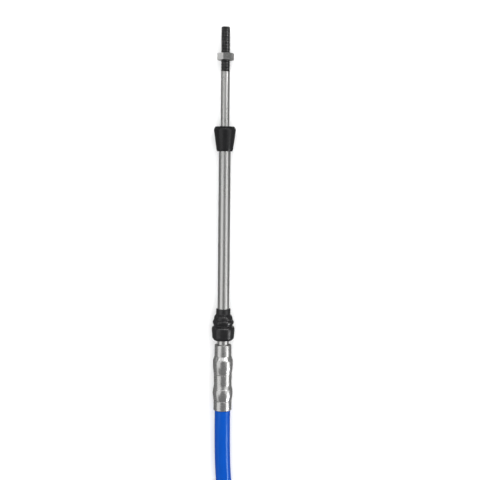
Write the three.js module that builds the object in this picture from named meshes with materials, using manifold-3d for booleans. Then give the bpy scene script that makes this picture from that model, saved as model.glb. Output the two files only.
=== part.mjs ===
// Push-pull control cable for a boat, lying on a level floor and bent once into a U.
// Each end has the same fitting: a threaded rod with a jam nut slides through a rubber wiper
// into a support tube, whose ball end swivels in a hub that is crimped onto the conduit.
// Millimetres, +Z up. Both fittings lie along Y with their rod tips towards +Y. The origin is
// on the floor, midway between them.
import * as THREE from "three";
import { mergeVertices } from "three/addons/utils/BufferGeometryUtils.js";
import Module from "manifold-3d";

// The rod, measured from its tip.
const ROD_RADIUS = 2.38;
const ROD_LENGTH = 130;
const THREAD_RADIUS = 2.5;
const THREAD_LENGTH = 24.1;
const THREAD_CHAMFER = 0.6;
const ROD_END_CHAMFER = 0.4;

// The jam nut.
const NUT_FROM_TIP = 14.2;
const NUT_HEIGHT = 3.8;
const NUT_ACROSS_FLATS = 8.1;
const NUT_SIDES = 6;
const NUT_CHAMFER_ANGLE = 30;
const NUT_FACE_INSET = 0.3;
const NUT_TURN = 15;

// How far each rod stands out of its wiper as the cable lies.
const ROD_OUT = { a: 54, b: 86.2 };

// The wiper: a rubber cone on the tube's end, wide at its lip.
const WIPER_LENGTH = 13.5;
const WIPER_LIP_RADIUS = 5.4;
const WIPER_TOP_RADIUS = 6.08;
const WIPER_TOP_BEVEL = 1.6;
const WIPER_FOOT_RADIUS = 4.55;
const WIPER_FOOT_BEVEL = 1.1;
const WIPER_LIP_HEIGHT = 3.4;

// The support tube and its ball. The pivot is measured from the wiper's lip.
const TUBE_RADIUS = 3.25;
const PIVOT_FROM_LIP = 126;
const BALL_RADIUS = 4;

// The swivel boot, a turned rubber bellows on the tube, clear of the hub's mouth.
const BOOT_LENGTH = 17.7;
const BOOT_ABOVE_HUB = 2.5;
const BOOT_NECK_RADIUS = 4;
const BOOT_NECK_LENGTH = 2.8;
const BOOT_RING_RADIUS = 5.15;
const BOOT_RING_FROM_TOP = 5;
const BOOT_RING_END = 6;
const BOOT_RIDGE_RADIUS = 5.8;
const BOOT_RIDGE_FROM_TOP = 7.4;
const BOOT_NOTCH_RADIUS = 5.3;
const BOOT_NOTCH_FROM_TOP = 9.3;
const BOOT_RADIUS = 6.35;
const BOOT_RIM_FROM_TOP = 11.5;
const BOOT_SKIRT_RADIUS = 6;
const BOOT_SKIRT_FROM_TOP = 16;
const BOOT_FOOT_RADIUS = 4.9;

// The hub, measured from its mouth.
const HUB_LENGTH = 37.1;
const HUB_NECK_RADIUS = 4.69;
const HUB_NECK_LENGTH = 6.3;
const HUB_SHOULDER_RADIUS = 5.56;
const HUB_SHOULDER_LENGTH = 2.4;
const HUB_SHOULDER_END = 12.9;
const HUB_GROOVE_RADIUS = 4.97;
const HUB_GROOVE_START = 16.2;
const HUB_GROOVE_END = 23.4;
const HUB_BULGE_RADIUS = 5.6;
const HUB_BULGE_END = 32;
const HUB_COLLAR_RADIUS = 5.06;
const HUB_EDGE_BEVEL = 0.3;
const PIVOT_FROM_MOUTH = 4.8;

// How far the hub's inner lip closes over the ball, as a share of the room that the swung tube
// leaves between itself and the socket.
const HUB_LIP_CLOSING = 0.45;

// How far the tube swings each way in the hub, in degrees.
const SWIVEL_LIMIT = 8;

// The conduit.
const CONDUIT_RADIUS = 4.37;
const CONDUIT_SIDES = 12;

// Where the two fittings lie.
const AXIS_SPACING = 156;

// Clearances: between pieces that slide or turn, and between pieces that only seat.
const RUN_GAP = 0.15;
const SEAT_GAP = 0.3;

// How finely a turned piece is divided, and an arc in its outline.
const TURN_SEGMENTS = 32;
const ARC_STEPS = 6;

// The middle line of the conduit, from one hub's end face to the other's. It leaves each hub
// straight, comes down to the floor and turns once through a wide bend.
const CONDUIT_ROUTE = [
  [-78, -90.3, 6.35],
  [-78, -98, 6.34],
  [-77.96, -106, 6.1],
  [-77.85, -114, 5.7],
  [-77.6, -122, 5.2],
  [-77.1, -130.5, 4.8],
  [-76.4, -138.5, 4.5],
  [-75.4, -146.5, 4.4],
  [-71.3, -165, 4.4],
  [-62.3, -182.2, 4.4],
  [-49.2, -196.6, 4.4],
  [-32.9, -207.3, 4.4],
  [-14.5, -213.5, 4.4],
  [4.9, -215, 4.4],
  [24.1, -211.5, 4.4],
  [41.8, -203.4, 4.4],
  [56.8, -191.1, 4.4],
  [68.3, -175.4, 4.4],
  [75.5, -157.3, 4.7],
  [78, -138, 5.6],
  [78, -131, 6.1],
  [78, -126, 6.34],
  [78, -122.5, 6.35],
];

const STEEL = { color: 0xb9bbbd, roughness: 0.3, metalness: 1 };
const RUBBER = { color: 0x161617, roughness: 0.6, metalness: 0 };
const BLUE_SKIN = { color: 0x1e58c4, roughness: 0.4, metalness: 0 };

const wasm = await Module();
wasm.setup();

const radians = (degrees) => (degrees * Math.PI) / 180;
const chord = (radius, offset) => Math.sqrt(radius * radius - offset * offset);

// Points of [radius, distance] round a ball, between two heights above its centre.
function ballArc(radius, centre, fromHeight, toHeight) {
  const from = Math.asin(fromHeight / radius);
  const to = Math.asin(toHeight / radius);
  const points = [];
  for (let i = 0; i <= ARC_STEPS; i++) {
    const angle = from + ((to - from) * i) / ARC_STEPS;
    points.push([radius * Math.cos(angle), centre - radius * Math.sin(angle)]);
  }
  return points;
}

// Points of [radius, distance] of a swell that starts and ends at given radii.
function swell(start, end, fromRadius, toRadius, topRadius) {
  const points = [];
  for (let i = 0; i <= ARC_STEPS * 2; i++) {
    const t = i / (ARC_STEPS * 2);
    const base = fromRadius + (toRadius - fromRadius) * t;
    const rise = (topRadius - (fromRadius + toRadius) / 2) * Math.sin(Math.PI * t);
    points.push([base + rise, start + (end - start) * t]);
  }
  return points;
}

// A solid turned about Y from [radius, distance] points, distance running from +Y to -Y.
function turned(profile) {
  const points = profile.map(([r, d]) => new THREE.Vector2(r, -d));
  return new THREE.LatheGeometry(points.reverse(), TURN_SEGMENTS);
}

// The same for a solid with a bore, whose outline closes on itself.
const turnedRing = (outline) => turned([...outline, outline[0]]);

function toSolid(geometry) {
  const bare = geometry.clone().deleteAttribute("normal").deleteAttribute("uv");
  const merged = mergeVertices(bare, 1e-4);
  return new wasm.Manifold(
    new wasm.Mesh({
      numProp: 3,
      vertProperties: merged.attributes.position.array,
      triVerts: new Uint32Array(merged.index.array),
    }),
  );
}

function toGeometry(solid) {
  const mesh = solid.getMesh();
  const geometry = new THREE.BufferGeometry();
  geometry.setAttribute("position", new THREE.BufferAttribute(mesh.vertProperties, 3));
  geometry.setIndex(new THREE.BufferAttribute(mesh.triVerts, 1));
  geometry.computeVertexNormals();
  return geometry;
}

// The rod is one piece with its rolled thread, kept here at the thread's outer diameter.
function rod() {
  return turned([
    [0, 0],
    [THREAD_RADIUS - THREAD_CHAMFER, 0],
    [THREAD_RADIUS, THREAD_CHAMFER],
    [THREAD_RADIUS, THREAD_LENGTH],
    [ROD_RADIUS, THREAD_LENGTH + (THREAD_RADIUS - ROD_RADIUS)],
    [ROD_RADIUS, ROD_LENGTH - ROD_END_CHAMFER],
    [ROD_RADIUS - ROD_END_CHAMFER, ROD_LENGTH],
    [0, ROD_LENGTH],
  ]);
}

// A hexagon prism cut by a turned blank, which takes its corners off on both faces.
function jamNut() {
  const flat = NUT_ACROSS_FLATS / 2;
  const corner = flat / Math.cos(Math.PI / NUT_SIDES);
  const hexagon = new THREE.Shape();
  for (let i = 0; i < NUT_SIDES; i++) {
    const angle = radians(NUT_TURN) + (2 * Math.PI * i) / NUT_SIDES;
    const at = [corner * Math.sin(angle), -corner * Math.cos(angle)];
    if (i === 0) hexagon.moveTo(...at);
    else hexagon.lineTo(...at);
  }
  hexagon.closePath();
  const prism = new THREE.ExtrudeGeometry(hexagon, { depth: NUT_HEIGHT, bevelEnabled: false });
  prism.rotateX(Math.PI / 2);
  const faceRadius = flat - NUT_FACE_INSET;
  const blankRadius = corner + NUT_FACE_INSET;
  const drop = (blankRadius - faceRadius) * Math.tan(radians(NUT_CHAMFER_ANGLE));
  const bore = THREAD_RADIUS + RUN_GAP;
  const blank = turnedRing([
    [bore, 0],
    [faceRadius, 0],
    [blankRadius, drop],
    [blankRadius, NUT_HEIGHT - drop],
    [faceRadius, NUT_HEIGHT],
    [bore, NUT_HEIGHT],
  ]);
  return toGeometry(toSolid(prism).intersect(toSolid(blank)));
}

// The wiper's lip rides on the rod, and its skirt grips the tube.
function wiperSeal() {
  const lipBore = ROD_RADIUS + RUN_GAP;
  const tubeBore = TUBE_RADIUS + SEAT_GAP;
  return turnedRing([
    [lipBore, 0],
    [WIPER_LIP_RADIUS, 0],
    [WIPER_TOP_RADIUS, WIPER_TOP_BEVEL],
    [WIPER_FOOT_RADIUS, WIPER_LENGTH - WIPER_FOOT_BEVEL],
    [tubeBore + (WIPER_FOOT_RADIUS - tubeBore) / 2, WIPER_LENGTH],
    [tubeBore, WIPER_LENGTH],
    [tubeBore, WIPER_LIP_HEIGHT - SEAT_GAP],
    [lipBore, WIPER_LIP_HEIGHT - SEAT_GAP],
  ]);
}

// The tube starts under the wiper's lip and ends in the ball.
function supportTube() {
  const bore = ROD_RADIUS + RUN_GAP;
  return turnedRing([
    [bore, WIPER_LIP_HEIGHT],
    [TUBE_RADIUS, WIPER_LIP_HEIGHT],
    ...ballArc(BALL_RADIUS, PIVOT_FROM_LIP, chord(BALL_RADIUS, TUBE_RADIUS), -chord(BALL_RADIUS, bore)),
  ]);
}

function swivelBoot() {
  const bore = TUBE_RADIUS + SEAT_GAP;
  return turnedRing([
    [bore, 0],
    [BOOT_NECK_RADIUS, 0],
    [BOOT_NECK_RADIUS, BOOT_NECK_LENGTH],
    [BOOT_RING_RADIUS, BOOT_RING_FROM_TOP],
    [BOOT_RING_RADIUS, BOOT_RING_END],
    [BOOT_RIDGE_RADIUS, BOOT_RIDGE_FROM_TOP],
    [BOOT_NOTCH_RADIUS, BOOT_NOTCH_FROM_TOP],
    [BOOT_RADIUS, BOOT_RIM_FROM_TOP],
    [BOOT_SKIRT_RADIUS, BOOT_SKIRT_FROM_TOP],
    [BOOT_FOOT_RADIUS, BOOT_LENGTH],
    [bore, BOOT_LENGTH],
  ]);
}

// The hub: a flared mouth narrower than the ball, the ball's socket and a bore for the core
// inside, and a groove outside that a cable clamp grips.
function swivelHub() {
  const socket = BALL_RADIUS + RUN_GAP;
  const bore = ROD_RADIUS + RUN_GAP;
  const tilt = radians(SWIVEL_LIMIT);
  const tubeReach = (height) => TUBE_RADIUS / Math.cos(tilt) + height * Math.tan(tilt);
  const lipRadius = socket - (socket - tubeReach(0)) * HUB_LIP_CLOSING;
  const mouthRadius = tubeReach(PIVOT_FROM_MOUTH) + RUN_GAP;
  return turnedRing([
    [mouthRadius, 0],
    [HUB_NECK_RADIUS - HUB_EDGE_BEVEL, 0],
    [HUB_NECK_RADIUS, HUB_EDGE_BEVEL],
    [HUB_NECK_RADIUS, HUB_NECK_LENGTH],
    [HUB_SHOULDER_RADIUS, HUB_NECK_LENGTH + HUB_SHOULDER_LENGTH],
    [HUB_SHOULDER_RADIUS, HUB_SHOULDER_END],
    [HUB_GROOVE_RADIUS, HUB_GROOVE_START],
    ...swell(HUB_GROOVE_END, HUB_BULGE_END, HUB_GROOVE_RADIUS, HUB_COLLAR_RADIUS, HUB_BULGE_RADIUS),
    [HUB_COLLAR_RADIUS, HUB_LENGTH - HUB_EDGE_BEVEL],
    [HUB_COLLAR_RADIUS - HUB_EDGE_BEVEL, HUB_LENGTH],
    [bore, HUB_LENGTH],
    ...ballArc(socket, PIVOT_FROM_MOUTH, -chord(socket, bore), chord(socket, lipRadius)),
  ]);
}

// The conduit's jacket, with a step every two diameters.
function conduit() {
  const path = new THREE.CatmullRomCurve3(
    CONDUIT_ROUTE.map((point) => new THREE.Vector3(...point)),
    false,
    "centripetal",
  );
  const section = new THREE.Shape();
  for (let i = 0; i < CONDUIT_SIDES; i++) {
    const angle = (2 * Math.PI * i) / CONDUIT_SIDES;
    const at = [CONDUIT_RADIUS * Math.cos(angle), CONDUIT_RADIUS * Math.sin(angle)];
    if (i === 0) section.moveTo(...at);
    else section.lineTo(...at);
  }
  section.closePath();
  const steps = Math.round(path.getLength() / (4 * CONDUIT_RADIUS));
  return new THREE.ExtrudeGeometry(section, { steps, bevelEnabled: false, extrudePath: path });
}

function piece(name, geometry, finish, distance) {
  const mesh = new THREE.Mesh(geometry, new THREE.MeshStandardMaterial(finish));
  mesh.name = name;
  mesh.position.y = -distance;
  return mesh;
}

// One fitting, its rod tip at the group's origin and its length running towards -Y.
function fitting(side) {
  const lip = ROD_OUT[side];
  const mouth = lip + PIVOT_FROM_LIP - PIVOT_FROM_MOUTH;
  const group = new THREE.Group();
  group.add(
    piece("threaded_rod_" + side, rod(), STEEL, 0),
    piece("jam_nut_" + side, jamNut(), STEEL, NUT_FROM_TIP),
    piece("wiper_seal_" + side, wiperSeal(), RUBBER, lip),
    piece("support_tube_" + side, supportTube(), STEEL, lip),
    piece("swivel_boot_" + side, swivelBoot(), RUBBER, mouth - BOOT_ABOVE_HUB - BOOT_LENGTH),
    piece("swivel_hub_" + side, swivelHub(), STEEL, mouth),
  );
  return group;
}

// The fittings lie side by side with their tips level, resting on their boots.
const longerFitting = ROD_OUT.b + PIVOT_FROM_LIP - PIVOT_FROM_MOUTH + HUB_LENGTH;
const cable = new THREE.Group();
for (const [side, x] of [["a", -AXIS_SPACING / 2], ["b", AXIS_SPACING / 2]]) {
  const group = fitting(side);
  group.position.set(x, longerFitting / 2, BOOT_RADIUS);
  cable.add(group);
}
cable.add(piece("conduit", conduit(), BLUE_SKIN, 0));

export default cable;
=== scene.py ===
# Boat control cable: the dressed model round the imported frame. Metres, +Z up, both fittings
# along Y with their rod tips towards +Y.
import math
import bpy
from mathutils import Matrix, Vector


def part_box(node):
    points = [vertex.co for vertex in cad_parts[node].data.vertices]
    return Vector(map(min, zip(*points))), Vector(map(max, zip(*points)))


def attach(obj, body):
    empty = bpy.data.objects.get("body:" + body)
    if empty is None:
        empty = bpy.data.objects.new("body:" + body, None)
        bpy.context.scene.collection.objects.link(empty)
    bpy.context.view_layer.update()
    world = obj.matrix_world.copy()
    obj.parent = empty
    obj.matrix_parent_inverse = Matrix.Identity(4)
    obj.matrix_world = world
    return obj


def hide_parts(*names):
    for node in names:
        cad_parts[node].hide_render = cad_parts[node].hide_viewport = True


bl_info = {
    "name": "Boat control cable",
    "version": (1, 0, 0),
    "blender": (4, 5, 0),
    "location": "View3D > Sidebar > Cable",
    "description": "Builds a push-pull control cable with its two end fittings",
    "category": "Object",
}

import bmesh
import bpy
from bpy.props import FloatProperty, FloatVectorProperty, IntProperty, PointerProperty
from bpy.types import Operator, Panel, PropertyGroup
from mathutils import Matrix, Vector

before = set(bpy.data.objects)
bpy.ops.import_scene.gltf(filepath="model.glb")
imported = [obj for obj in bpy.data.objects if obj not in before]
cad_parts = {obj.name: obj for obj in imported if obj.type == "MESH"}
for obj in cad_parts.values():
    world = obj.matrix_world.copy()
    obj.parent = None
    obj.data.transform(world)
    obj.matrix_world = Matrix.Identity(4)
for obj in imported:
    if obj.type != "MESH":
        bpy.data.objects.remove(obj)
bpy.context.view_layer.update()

MM = 0.001
SIDES = ("a", "b")

# Soft boxes round the cable: name, lean from overhead towards +X in degrees, width, reach along
# Y from the picture's centre, from and to, in metres, radiance, and whether the metal mirrors the
# box. The nut low box lies under the floor, which the metal doesn't mirror, and stands for it.
PANEL_DISTANCE = 1.0
PANELS = (
    ("upper left box", -42, 0.95, -0.15, 0.2, 0.85, True),
    ("lower left box", -51, 0.85, -0.42, -0.15, 0.85, True),
    ("far left box", -66, 0.4, -0.95, -0.4, 0.6, True),
    ("nut box", -88, 0.3, 0.2, 0.6, 0.75, True),
    ("upper right box", 49, 0.85, -0.18, 0.14, 0.9, True),
    ("thread box", 50, 0.24, 0.25, 0.6, 6.5, True),
    ("lower right box", 66, 0.55, -0.42, -0.18, 1.9, True),
    ("conduit box", 73, 0.38, -0.9, -0.42, 8.5, True),
    ("head box", -8, 2.3, 0.44, 0.85, 2.2, True),
    ("glint box", 20, 0.16, 0.55, 0.95, 9.0, True),
    ("nut low box", 150, 0.4, 0.24, 0.42, 1.9, True),
    ("overhead fill", 0, 2.0, -1.0, 1.0, 1.5, False),
)

# The conduit's middle line in millimetres, from one hub's end face to the other's.
CONDUIT_ROUTE = (
    (-78, -90.3, 6.35),
    (-78, -98, 6.34),
    (-77.96, -106, 6.1),
    (-77.85, -114, 5.7),
    (-77.6, -122, 5.2),
    (-77.1, -130.5, 4.8),
    (-76.4, -138.5, 4.5),
    (-75.4, -146.5, 4.4),
    (-71.3, -165, 4.4),
    (-62.3, -182.2, 4.4),
    (-49.2, -196.6, 4.4),
    (-32.9, -207.3, 4.4),
    (-14.5, -213.5, 4.4),
    (4.9, -215, 4.4),
    (24.1, -211.5, 4.4),
    (41.8, -203.4, 4.4),
    (56.8, -191.1, 4.4),
    (68.3, -175.4, 4.4),
    (75.5, -157.3, 4.7),
    (78, -138, 5.6),
    (78, -131, 6.1),
    (78, -126, 6.34),
    (78, -122.5, 6.35),
)

# Outlines in millimetres: (radius, distance along the piece, rounding of that corner).
WIPER_OUTLINE = (
    (2.53, 0.5, 0.15),
    (2.83, 0.0, 0.15),
    (5.4, 0.0, 0.3),
    (6.1, 1.6, 0.45),
    (4.6, 12.4, 0.5),
    (4.3, 13.5, 0.3),
    (3.32, 13.5, 0.1),
    (3.32, 3.2, 0.1),
    (2.53, 3.2, 0.1),
)
BOOT_OUTLINE = (
    (3.32, 0.0, 0.1),
    (4.0, 0.0, 0.15),
    (4.02, 2.9, 0.2),
    (4.6, 3.6, 0.25),
    (4.98, 4.3, 0.25),
    (5.25, 5.4, 0.2),
    (5.2, 6.0, 0.1),
    (5.65, 6.5, 0.2),
    (5.9, 7.4, 0.3),
    (5.66, 8.4, 0.2),
    (5.2, 9.2, 0.15),
    (5.3, 9.55, 0.1),
    (5.9, 9.95, 0.2),
    (6.16, 10.35, 0.2),
    (6.4, 11.0, 0.25),
    (6.36, 12.2, 0.5),
    (6.16, 14.4, 0.8),
    (6.08, 16.3, 0.5),
    (5.1, 17.55, 0.2),
    (4.6, 17.7, 0.1),
    (3.32, 17.7, 0.1),
)
HUB_OUTLINE = (
    (4.1, 0.0, 0.12),
    (4.69, 0.0, 0.25),
    (4.69, 6.3, 0.25),
    (5.56, 8.75, 0.5),
    (5.58, 12.3, 1.2),
    (5.1, 15.8, 0.6),
    (5.04, 16.7, 0.05),
    (4.88, 16.85, 0.03),
    (5.02, 17.0, 0.03),
    (4.95, 23.0, 0.6),
    (5.3, 24.75, 0.2),
    (5.42, 25.05, 0.1),
    (5.62, 27.0, 0.8),
    (5.45, 29.4, 0.9),
    (5.03, 31.5, 0.1),
    (4.84, 31.7, 0.03),
    (5.03, 31.9, 0.05),
    (5.04, 36.2, 0.2),
    (5.1, 36.9, 0.15),
    (4.85, 37.1, 0.1),
    (4.42, 37.1, 0.1),
    (4.42, 33.0, 0.1),
    (2.53, 33.0, 0.1),
    (2.53, 8.2, 0.2),
    (4.15, 5.7, 0.9),
    (3.8, 3.0, 0.3),
)
TUBE_OUTLINE = (
    (2.53, 3.4, 0.1),
    (3.25, 3.4, 0.2),
    (3.25, 123.3, 0.2),
    (3.7, 124.3, 0.4),
    (4.0, 126.0, 0.9),
    (3.5, 128.1, 0.6),
    (2.53, 129.1, 0.1),
)

# The rounding of a corner takes at most this share of the edges beside it.
ROUNDING_SHARE = 0.48

# One turn of the thread: the root's flat and the two flanks together as shares of the pitch.
ROOT_SHARE = 0.1
FLANK_SHARE = 0.65
ROWS_A_TURN = 8
STEPS_A_TURN = 48

# In millimetres: the chamfer at the rod's tip, how far the plain shank reaches up inside the
# thread's last turns, and how much thinner it is there.
TIP_CHAMFER = 0.35
SHANK_LAP = 0.4
SHANK_STEP = 0.35

# The jam nut in millimetres and degrees. Its steps put a vertex on every corner and flat centre.
NUT_FACE_INSET = 0.06
NUT_RIM = 0.03
NUT_BORE_GAP = 0.02
NUT_BORE_CHAMFER = 0.25
NUT_CHAMFER_ANGLE = 15
NUT_STEPS = 96

# From the floor's middle to its edges, in metres.
FLOOR_REACH = 4


class SizeSettings(PropertyGroup):
    thread_pitch: FloatProperty(
        name="Thread pitch", description="Distance between two crests of the rod's thread",
        default=0.8 * MM, unit="LENGTH", precision=5)
    thread_depth: FloatProperty(
        name="Thread depth", description="From a crest of the thread to its root",
        default=0.42 * MM, unit="LENGTH", precision=5)
    thread_length: FloatProperty(
        name="Thread length", description="Threaded length at the rod's tip",
        default=24.1 * MM, unit="LENGTH", precision=5)
    rod_radius: FloatProperty(
        name="Rod radius", description="Radius of the rod's plain shank",
        default=2.38 * MM, unit="LENGTH", precision=5)
    nut_flats: FloatProperty(
        name="Nut across flats", description="Distance between two flats of the jam nut",
        default=8.1 * MM, unit="LENGTH", precision=5)
    nut_turn: FloatProperty(
        name="Nut turn", description="How far the nut's upper corner leans from straight up",
        default=math.radians(-15), unit="ROTATION")
    conduit_radius: FloatProperty(
        name="Conduit radius", description="Outer radius of the conduit's jacket",
        default=4.37 * MM, unit="LENGTH", precision=5)
    turn_steps: IntProperty(
        name="Turn steps", description="Faces round a turned piece",
        default=96, min=24)


class FinishSettings(PropertyGroup):
    tube_steel: FloatVectorProperty(
        name="Drawn steel", description="Colour of the rod's shank and the support tube",
        subtype="COLOR", size=3, default=(0.58, 0.58, 0.57))
    hub_steel: FloatVectorProperty(
        name="Polished steel", description="Colour of the hub",
        subtype="COLOR", size=3, default=(0.6, 0.6, 0.59))
    thread_steel: FloatVectorProperty(
        name="Thread steel", description="Colour of the thread's crests and the nut",
        subtype="COLOR", size=3, default=(0.24, 0.24, 0.24))
    rubber: FloatVectorProperty(
        name="Rubber", description="Colour of the wiper and the boot",
        subtype="COLOR", size=3, default=(0.007, 0.007, 0.0075))
    jacket: FloatVectorProperty(
        name="Jacket", description="Colour of the conduit's plastic jacket",
        subtype="COLOR", size=3, default=(0.0, 0.056, 0.35))
    wiper_sheen: FloatProperty(
        name="Wiper sheen", description="Specular level of the wiper's rubber",
        default=0.28, min=0, max=1, subtype="FACTOR")
    boot_sheen: FloatProperty(
        name="Boot sheen", description="Specular level of the boot's rubber",
        default=0.5, min=0, max=1, subtype="FACTOR")
    floor_shade: FloatProperty(
        name="Floor shade", description="How much light the white floor returns",
        default=0.9, min=0, max=1, subtype="FACTOR")


class StudioSettings(PropertyGroup):
    camera_distance: FloatProperty(
        name="Camera distance", description="From the camera to the picture's centre",
        default=0.5, unit="LENGTH")
    view_width: FloatProperty(
        name="View width", description="Width of the picture at the height of the axes",
        default=0.2664, unit="LENGTH", precision=5)
    view_below_tip: FloatProperty(
        name="View centre below tip", description="From the rod's tip to the picture's centre",
        default=0.1164, unit="LENGTH", precision=5)
    view_right: FloatProperty(
        name="View centre right", description="From the fitting's axis to the picture's centre",
        default=0.0089, unit="LENGTH", precision=5)
    tilt: FloatProperty(
        name="Camera tilt", description="Lean of the camera towards the rod's tip",
        default=math.radians(4.5), unit="ROTATION")
    roll: FloatProperty(
        name="Camera roll", description="Turn of the camera about its own axis",
        default=math.radians(0.6), unit="ROTATION")
    air_light: FloatProperty(
        name="Air light", description="Strength of the even light from all round",
        default=0.24, min=0)


def fitting_axis(side):
    """The point on a fitting's axis level with its rod tip."""
    low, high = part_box("threaded_rod_" + side)
    return Vector(((low.x + high.x) / 2, high.y, (low.z + high.z) / 2))


def top_of(node):
    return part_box(node)[1].y


class Sum:
    """A shader socket that Python's operators act on by adding Math nodes."""

    def __init__(self, paint, socket):
        self.paint = paint
        self.socket = socket

    def _math(self, operation, first, second):
        return self.paint.node("ShaderNodeMath", {"operation": operation}, {0: first, 1: second})

    def __add__(self, other):
        return self._math("ADD", self, other)

    __radd__ = __add__

    def __sub__(self, other):
        return self._math("SUBTRACT", self, other)

    def __rsub__(self, other):
        return self._math("SUBTRACT", other, self)

    def __mul__(self, other):
        return self._math("MULTIPLY", self, other)

    __rmul__ = __mul__


class Paint:
    """One material's node tree with a Principled shader."""

    def __init__(self, name):
        self.material = bpy.data.materials.new(name)
        self.material.use_nodes = True
        self.tree = self.material.node_tree
        self.shader = self.tree.nodes["Principled BSDF"]

    def node(self, kind, settings=None, inputs=None, output=0):
        made = self.tree.nodes.new(kind)
        for key, value in (settings or {}).items():
            setattr(made, key, value)
        for key, value in (inputs or {}).items():
            self.feed(made.inputs[key], value)
        return Sum(self, made.outputs[output])

    def feed(self, socket, value):
        if isinstance(value, Sum):
            self.tree.links.new(value.socket, socket)
        else:
            socket.default_value = value

    def set(self, **values):
        for key, value in values.items():
            self.feed(self.shader.inputs[key.replace("_", " ")], value)

    def place(self, scale):
        """Object coordinates with a scale for each axis."""
        coordinates = self.node("ShaderNodeTexCoord", output="Object")
        return self.node("ShaderNodeMapping", {}, {"Vector": coordinates, "Scale": scale})

    def noise(self, scale, detail=2.0, roughness=0.5):
        return self.node(
            "ShaderNodeTexNoise", {},
            {"Vector": self.place(scale), "Scale": 1.0, "Detail": detail, "Roughness": roughness})

    def blend(self, factor, first, second):
        """A colour between two, the second where the factor is 1."""
        return self.node(
            "ShaderNodeMix", {"data_type": "RGBA"},
            {"Factor": factor, 6: (*first, 1), 7: (*second, 1)}, output=2)

    def bump(self, height, depth, strength=1.0):
        return self.node(
            "ShaderNodeBump", {}, {"Height": height, "Distance": depth, "Strength": strength})


def shade(colour, factor):
    return tuple(channel * factor for channel in colour)


def drawn_steel():
    """Satin stainless bar and tube with fine lines along Y."""
    paint = Paint("drawn steel")
    colour = bpy.context.scene.cable_finish.tube_steel
    lines = paint.noise((2600, 22, 2600), detail=3)
    cloud = paint.noise((120, 40, 120))
    paint.set(
        Base_Color=paint.blend(lines, shade(colour, 0.9), shade(colour, 1.1)),
        Metallic=1.0,
        Roughness=0.2 + 0.1 * cloud + 0.06 * lines,
        Normal=paint.bump(lines, 0.004 * MM, 0.5),
    )
    return paint.material


def polished_steel():
    """Turned and polished stainless with faint rings round Y."""
    paint = Paint("polished steel")
    colour = bpy.context.scene.cable_finish.hub_steel
    rings = paint.noise((12, 5200, 12), detail=3)
    cloud = paint.noise((160, 160, 160))
    paint.set(
        Base_Color=paint.blend(cloud, shade(colour, 0.93), shade(colour, 1.05)),
        Metallic=1.0,
        Roughness=0.2 + 0.08 * cloud + 0.05 * rings,
        Normal=paint.bump(rings, 0.003 * MM, 0.5),
    )
    return paint.material


def nut_steel():
    """Plain machined nut with faint rings on its faces."""
    paint = Paint("nut steel")
    colour = bpy.context.scene.cable_finish.hub_steel
    grain = paint.noise((900, 2400, 900), detail=3)
    paint.set(
        Base_Color=paint.blend(grain, shade(colour, 0.85), shade(colour, 1.02)),
        Metallic=1.0,
        Roughness=0.09 + 0.08 * grain,
        Normal=paint.bump(grain, 0.004 * MM, 0.4),
    )
    return paint.material


def rolled_thread():
    """Rolled thread: bright crests, dull dark roots, the roots darkened as painted shade and dark
    oil in the grooves.
    """
    paint = Paint("rolled thread")
    colour = bpy.context.scene.cable_finish.thread_steel
    crest = paint.node("ShaderNodeAttribute", {"attribute_name": "crest"}, output="Fac")
    grain = paint.noise((700, 700, 700), detail=3)
    paint.set(
        # The roots take a tenth of the colour: painted shade in the thread's grooves, with dark
        # oil there too.
        Base_Color=paint.blend(crest, shade(colour, 0.1), colour),
        Metallic=1.0,
        Roughness=0.36 - 0.18 * crest + 0.08 * grain,
    )
    return paint.material


def moulded_rubber(name, sheen):
    """Black moulded rubber with a soft sheen and a fine grain."""
    paint = Paint(name)
    colour = bpy.context.scene.cable_finish.rubber
    grain = paint.noise((3200, 3200, 3200), detail=2)
    cloud = paint.noise((260, 260, 260), detail=3)
    paint.set(
        Base_Color=paint.blend(cloud, shade(colour, 0.75), shade(colour, 1.5)),
        Roughness=0.17 + 0.1 * cloud + 0.04 * grain,
        Specular_IOR_Level=sheen,
        Normal=paint.bump(grain, 0.006 * MM, 0.5),
    )
    return paint.material


def plastic_jacket():
    """Extruded blue plastic, half gloss, very slightly wavy."""
    paint = Paint("plastic jacket")
    colour = bpy.context.scene.cable_finish.jacket
    waves = paint.noise((130, 130, 130), detail=2)
    grain = paint.noise((1800, 1800, 1800), detail=2)
    paint.set(
        Base_Color=paint.blend(waves, shade(colour, 0.92), shade(colour, 1.08)),
        Roughness=0.14 + 0.05 * waves + 0.04 * grain,
        Specular_IOR_Level=0.35,
        Specular_Tint=(0.5, 0.85, 1, 1),
        Normal=paint.bump(0.9 * waves + 0.1 * grain, 0.03 * MM, 0.5),
    )
    return paint.material


def studio_floor():
    """Matt white ground."""
    paint = Paint("studio floor")
    level = bpy.context.scene.cable_finish.floor_shade
    paint.set(Base_Color=(level, level, level, 1), Roughness=0.7)
    return paint.material


def rounded(corners, closed, steps=5):
    """Points of an outline whose corners are eased by their own rounding, in metres."""
    count = len(corners)
    points = []
    for i, (radius, distance, ease) in enumerate(corners):
        here = Vector((radius, distance)) * MM
        if ease == 0 or (not closed and i in (0, count - 1)):
            points.append(here)
            continue
        before = Vector(corners[i - 1][:2]) * MM - here
        after = Vector(corners[(i + 1) % count][:2]) * MM - here
        start = here + before.normalized() * min(ease * MM, before.length * ROUNDING_SHARE)
        end = here + after.normalized() * min(ease * MM, after.length * ROUNDING_SHARE)
        for k in range(steps + 1):
            t = k / steps
            points.append(start * (1 - t) ** 2 + here * 2 * t * (1 - t) + end * t ** 2)
    return points


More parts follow.
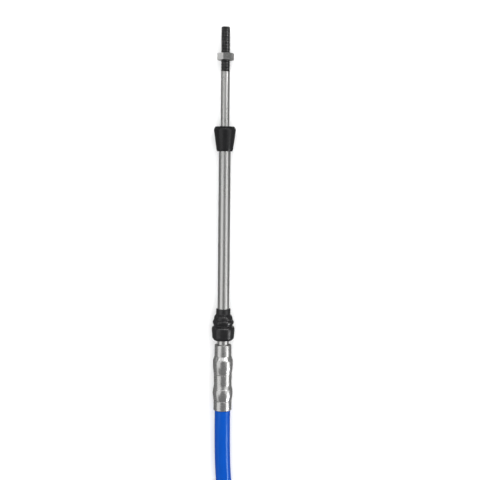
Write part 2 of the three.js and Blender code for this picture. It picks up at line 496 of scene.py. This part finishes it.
def turn_profile(bm, points, axis, closed, steps):
    """Spins (radius, distance) points once round a line along Y, distance running to -Y."""
    verts = [bm.verts.new((axis.x + p.x, axis.y - p.y, axis.z)) for p in points]
    ends = verts[1:] + (verts[:1] if closed else [])
    edges = [bm.edges.new(pair) for pair in zip(verts, ends)]
    bmesh.ops.spin(
        bm, geom=verts + edges, cent=axis, axis=(0, 1, 0), dvec=(0, 0, 0),
        angle=2 * math.pi, steps=steps, use_merge=True, use_duplicate=False)
    bmesh.ops.remove_doubles(bm, verts=bm.verts, dist=1e-6)


def finish_mesh(bm, name, body, materials, nodes, sharp=40):
    """Makes the object of a bmesh and ties it to the frame."""
    bmesh.ops.recalc_face_normals(bm, faces=bm.faces)
    mesh = bpy.data.meshes.new(name)
    bm.to_mesh(mesh)
    bm.free()
    mesh.shade_smooth()
    mesh.set_sharp_from_angle(angle=math.radians(sharp))
    for material in materials:
        mesh.materials.append(material)
    piece = bpy.data.objects.new(name, mesh)
    bpy.context.scene.collection.objects.link(piece)
    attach(piece, body)
    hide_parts(*nodes)
    return piece


def turned_piece(name, outline, start, body, material, node):
    bm = bmesh.new()
    steps = bpy.context.scene.cable_sizes.turn_steps
    turn_profile(bm, rounded(outline, closed=True), start, True, steps)
    return finish_mesh(bm, name, body, [material], [node])


def thread_level(phase):
    """Height of the thread's section at a phase of its pitch, 1 at the crest and 0 at the root."""
    return min(1.0, max(0.0, (abs(2 * phase - 1) - ROOT_SHARE) / FLANK_SHARE))


def add_thread(bm, axis, sizes, crest_radius, crest_layer):
    """A right-hand thread from the tip down to the shank, cut flat at both ends."""
    pitch = sizes.thread_pitch
    count = int(sizes.thread_length / pitch + 3) * ROWS_A_TURN
    verts = []
    for i in range(count):
        level = thread_level((i % ROWS_A_TURN) / ROWS_A_TURN)
        radius = crest_radius - sizes.thread_depth * (1 - level)
        distance = (i / ROWS_A_TURN - 1) * pitch
        vert = bm.verts.new((axis.x + radius, axis.y - distance, axis.z))
        # This crest level also darkens the roots in the thread's colour, as painted shade.
        vert[crest_layer] = level
        verts.append(vert)
    edges = [bm.edges.new(pair) for pair in zip(verts, verts[1:])]
    bmesh.ops.spin(
        bm, geom=verts + edges, cent=axis, axis=(0, 1, 0), dvec=(0, pitch / STEPS_A_TURN, 0),
        angle=2 * math.pi, steps=STEPS_A_TURN, use_merge=False, use_duplicate=False)
    bmesh.ops.remove_doubles(bm, verts=bm.verts, dist=1e-6)
    shank = axis - Vector((0, sizes.thread_length, 0))
    for plane, normal in ((axis, (0, 1, 0)), (shank, (0, -1, 0))):
        geometry = bm.verts[:] + bm.edges[:] + bm.faces[:]
        bmesh.ops.bisect_plane(
            bm, geom=geometry, dist=1e-7, plane_co=plane, plane_no=normal, clear_outer=True)
    open_edges = [edge for edge in bm.edges if edge.is_boundary]
    bmesh.ops.holes_fill(bm, edges=open_edges, sides=0)
    chamfer_tip(bm, axis, crest_radius)


def chamfer_tip(bm, axis, crest_radius):
    """Draws the first turns in under a cone at the rod's tip."""
    face_radius = crest_radius - TIP_CHAMFER * MM
    for vert in bm.verts:
        limit = face_radius + (axis.y - vert.co.y)
        out = Vector((vert.co.x - axis.x, 0, vert.co.z - axis.z))
        if out.length > limit:
            vert.co -= out * (1 - limit / out.length)


class CABLE_OT_studio(Operator):
    """Make the floor, the lights and the camera"""

    bl_idname = "cable.studio"
    bl_label = "Studio"

    def execute(self, context):
        studio = context.scene.cable_studio
        axis = fitting_axis("a")
        aim = axis + Vector((studio.view_right, -studio.view_below_tip, 0))
        self.add_camera(context, studio, aim)
        self.add_floor(context)
        self.add_lights(context, studio, aim)
        return {"FINISHED"}

    def add_camera(self, context, studio, aim):
        data = bpy.data.cameras.new("camera")
        data.sensor_width = 36
        data.lens = data.sensor_width * studio.camera_distance / studio.view_width
        data.clip_start = 0.01
        camera = bpy.data.objects.new("camera", data)
        context.scene.collection.objects.link(camera)
        back = Matrix.Translation((0, 0, studio.camera_distance))
        lean = Matrix.Rotation(-studio.tilt, 4, "X") @ Matrix.Rotation(studio.roll, 4, "Z")
        camera.matrix_world = Matrix.Translation(aim) @ lean @ back
        context.scene.camera = camera

    def add_floor(self, context):
        bm = bmesh.new()
        bmesh.ops.create_grid(bm, x_segments=1, y_segments=1, size=FLOOR_REACH)
        mesh = bpy.data.meshes.new("floor")
        bm.to_mesh(mesh)
        bm.free()
        floor = bpy.data.objects.new("floor", mesh)
        context.scene.collection.objects.link(floor)
        floor.data.materials.append(studio_floor())
        floor.visible_glossy = False

    def add_lights(self, context, studio, aim):
        world = bpy.data.worlds.new("studio air")
        world.use_nodes = True
        background = world.node_tree.nodes["Background"]
        background.inputs["Color"].default_value = (1, 1, 1, 1)
        background.inputs["Strength"].default_value = studio.air_light
        context.scene.world = world
        context.scene.view_settings.view_transform = "Standard"
        for name, lean, width, near_end, far_end, radiance, mirrored in PANELS:
            light = bpy.data.lights.new(name, "AREA")
            light.shape = "RECTANGLE"
            light.size = width
            light.size_y = far_end - near_end
            light.energy = radiance * math.pi * light.size * light.size_y
            lamp = bpy.data.objects.new(name, light)
            lamp.visible_glossy = mirrored
            context.scene.collection.objects.link(lamp)
            angle = math.radians(lean)
            middle = Vector((0, (near_end + far_end) / 2, 0))
            away = Vector((math.sin(angle), 0, math.cos(angle))) * PANEL_DISTANCE
            lamp.matrix_world = Matrix.Translation(aim + middle + away) @ Matrix.Rotation(
                angle, 4, "Y")


class CABLE_OT_conduit(Operator):
    """Lay the jacketed conduit between the two hubs"""

    bl_idname = "cable.conduit"
    bl_label = "Conduit"

    def execute(self, context):
        sizes = context.scene.cable_sizes
        points = self.smooth_route([Vector(point) * MM for point in CONDUIT_ROUTE])
        curve = bpy.data.curves.new("conduit jacket", "CURVE")
        curve.dimensions = "3D"
        curve.bevel_depth = sizes.conduit_radius
        curve.bevel_resolution = 10
        curve.use_fill_caps = True
        spline = curve.splines.new("POLY")
        spline.points.add(len(points) - 1)
        for target, point in zip(spline.points, points):
            target.co = (*point, 1)
        spline.use_smooth = True
        jacket = bpy.data.objects.new("conduit_jacket", curve)
        context.scene.collection.objects.link(jacket)
        curve.materials.append(plastic_jacket())
        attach(jacket, "sheath")
        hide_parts("conduit")
        length = sum((b - a).length for a, b in zip(points, points[1:]))
        return {"FINISHED"}

    @staticmethod
    def smooth_route(route, steps=6):
        """Points of a curve through the route's points, a few for each stretch."""
        first = route[0] * 2 - route[1]
        last = route[-1] * 2 - route[-2]
        guide = [first, *route, last]
        points = []
        for a, b, c, d in zip(guide, guide[1:], guide[2:], guide[3:]):
            into = (c - a) * ((c - b).length / ((b - a).length + (c - b).length))
            out = (d - b) * ((c - b).length / ((c - b).length + (d - c).length))
            for k in range(steps):
                t = k / steps
                points.append(
                    b * (2 * t ** 3 - 3 * t ** 2 + 1) + into * (t ** 3 - 2 * t ** 2 + t)
                    + c * (3 * t ** 2 - 2 * t ** 3) + out * (t ** 3 - t ** 2))
        points.append(route[-1])
        return points


class CABLE_OT_rods(Operator):
    """Turn the two rods with their rolled threads"""

    bl_idname = "cable.rods"
    bl_label = "Rods"

    def execute(self, context):
        sizes = context.scene.cable_sizes
        thread = rolled_thread()
        steel = drawn_steel()
        for side in SIDES:
            node = "threaded_rod_" + side
            low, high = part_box(node)
            axis = fitting_axis(side)
            bm = bmesh.new()
            crest_layer = bm.verts.layers.float.new("crest")
            add_thread(bm, axis, sizes, (high.x - low.x) / 2, crest_layer)
            threaded = set(bm.faces)
            radius = sizes.rod_radius / MM
            start = sizes.thread_length / MM
            end = (high.y - low.y) / MM
            shank = (
                (0, start - SHANK_LAP, 0),
                (radius - SHANK_STEP, start - SHANK_LAP, 0),
                (radius, start + 0.1, 0.1),
                (radius, end, 0.4),
                (0, end, 0),
            )
            turn_profile(bm, rounded(shank, closed=False), axis, False, sizes.turn_steps)
            for face in bm.faces:
                face.material_index = 0 if face in threaded else 1
            finish_mesh(
                bm, "rod_and_thread_" + side, "rod_" + side, [thread, steel], [node])
        return {"FINISHED"}


class CABLE_OT_nuts(Operator):
    """Cut the two jam nuts"""

    bl_idname = "cable.nuts"
    bl_label = "Jam nuts"

    def execute(self, context):
        steel = nut_steel()
        for side in SIDES:
            self.add_nut(context.scene.cable_sizes, side, steel)
        return {"FINISHED"}

    def add_nut(self, sizes, side, steel):
        node = "jam_nut_" + side
        low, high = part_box(node)
        axis = fitting_axis(side)
        axis.y = high.y
        height = (high.y - low.y) / MM
        half_flats = sizes.nut_flats / 2 / MM
        face = half_flats - NUT_FACE_INSET
        rod_low, rod_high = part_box("threaded_rod_" + side)
        bore = (rod_high.x - rod_low.x) / 2 / MM + NUT_BORE_GAP
        outline = (
            (bore + NUT_BORE_CHAMFER, 0, 0),
            (face, 0, 0),
            (half_flats, NUT_RIM, 0),
            (half_flats, height - NUT_RIM, 0),
            (face, height, 0),
            (bore + NUT_BORE_CHAMFER, height, 0),
            (bore, height - NUT_BORE_CHAMFER, 0),
            (bore, NUT_BORE_CHAMFER, 0),
        )
        bm = bmesh.new()
        turn_profile(bm, rounded(outline, closed=True), axis, True, NUT_STEPS)
        self.shape_hexagon(bm, axis, height, half_flats, face, sizes.nut_turn)
        finish_mesh(
            bm, "hexagon_nut_" + side, "nut_" + side, [steel], [node], sharp=20)

    @staticmethod
    def shape_hexagon(bm, axis, height, half_flats, face, lean):
        """Pushes the rim out to six flats, with the arcs that a chamfering cone leaves."""
        slope = math.tan(math.radians(NUT_CHAMFER_ANGLE))
        rim = (half_flats - NUT_FACE_INSET / 2) * MM
        for vert in bm.verts:
            out = Vector((vert.co.x - axis.x, vert.co.z - axis.z))
            if out.length < rim:
                continue
            angle = (math.atan2(out.x, out.y) - lean) % (math.pi / 3) - math.pi / 6
            radius = half_flats / math.cos(angle)
            drop = (radius - face) * slope * MM
            direction = out.normalized() * radius * MM
            upper = axis.y - vert.co.y < height * MM / 2
            vert.co = (
                axis.x + direction.x,
                axis.y - drop if upper else axis.y - height * MM + drop,
                axis.z + direction.y,
            )


class CABLE_OT_wipers(Operator):
    """Mould the two wiper seals"""

    bl_idname = "cable.wipers"
    bl_label = "Wiper seals"

    def execute(self, context):
        rubber = moulded_rubber("wiper rubber", context.scene.cable_finish.wiper_sheen)
        for side in SIDES:
            node = "wiper_seal_" + side
            start = fitting_axis(side)
            start.y = top_of(node)
            turned_piece(
                "rubber_wiper_" + side, WIPER_OUTLINE, start, "tube_" + side,
                rubber, node)
        return {"FINISHED"}


class CABLE_OT_tubes(Operator):
    """Draw the two support tubes with their swivel balls"""

    bl_idname = "cable.tubes"
    bl_label = "Support tubes"

    def execute(self, context):
        steel = drawn_steel()
        for side in SIDES:
            start = fitting_axis(side)
            start.y = top_of("wiper_seal_" + side)
            turned_piece(
                "drawn_tube_" + side, TUBE_OUTLINE, start, "tube_" + side,
                steel, "support_tube_" + side)
        return {"FINISHED"}


class CABLE_OT_boots(Operator):
    """Mould the two swivel boots"""

    bl_idname = "cable.boots"
    bl_label = "Swivel boots"

    def execute(self, context):
        rubber = moulded_rubber("boot rubber", context.scene.cable_finish.boot_sheen)
        for side in SIDES:
            node = "swivel_boot_" + side
            start = fitting_axis(side)
            start.y = top_of(node)
            turned_piece(
                "rubber_boot_" + side, BOOT_OUTLINE, start, "tube_" + side,
                rubber, node)
        return {"FINISHED"}


class CABLE_OT_hubs(Operator):
    """Turn and crimp the two swivel hubs"""

    bl_idname = "cable.hubs"
    bl_label = "Swivel hubs"

    def execute(self, context):
        steel = polished_steel()
        for side in SIDES:
            node = "swivel_hub_" + side
            start = fitting_axis(side)
            start.y = top_of(node)
            turned_piece(
                "crimped_hub_" + side, HUB_OUTLINE, start, "sheath", steel, node)
        return {"FINISHED"}


class CABLE_PT_panel(Panel):
    bl_idname = "CABLE_PT_panel"
    bl_label = "Boat control cable"
    bl_space_type = "VIEW_3D"
    bl_region_type = "UI"
    bl_category = "Cable"

    def draw(self, context):
        for group in (
            context.scene.cable_sizes, context.scene.cable_finish, context.scene.cable_studio):
            box = self.layout.box()
            for key in group.__annotations__:
                box.prop(group, key)
        for operator in OPERATORS:
            self.layout.operator(operator.bl_idname)


OPERATORS = (
    CABLE_OT_studio,
    CABLE_OT_conduit,
    CABLE_OT_rods,
    CABLE_OT_nuts,
    CABLE_OT_wipers,
    CABLE_OT_tubes,
    CABLE_OT_boots,
    CABLE_OT_hubs,
)
CLASSES = (SizeSettings, FinishSettings, StudioSettings, *OPERATORS, CABLE_PT_panel)


def register():
    for cls in CLASSES:
        bpy.utils.register_class(cls)
    bpy.types.Scene.cable_sizes = PointerProperty(type=SizeSettings)
    bpy.types.Scene.cable_finish = PointerProperty(type=FinishSettings)
    bpy.types.Scene.cable_studio = PointerProperty(type=StudioSettings)


def unregister():
    del bpy.types.Scene.cable_studio
    del bpy.types.Scene.cable_finish
    del bpy.types.Scene.cable_sizes
    for cls in reversed(CLASSES):
        bpy.utils.unregister_class(cls)


def main():
    register()
    for operator in OPERATORS:
        group, action = operator.bl_idname.split(".")
        getattr(getattr(bpy.ops, group), action)()


if __name__ == "__main__":
    main()
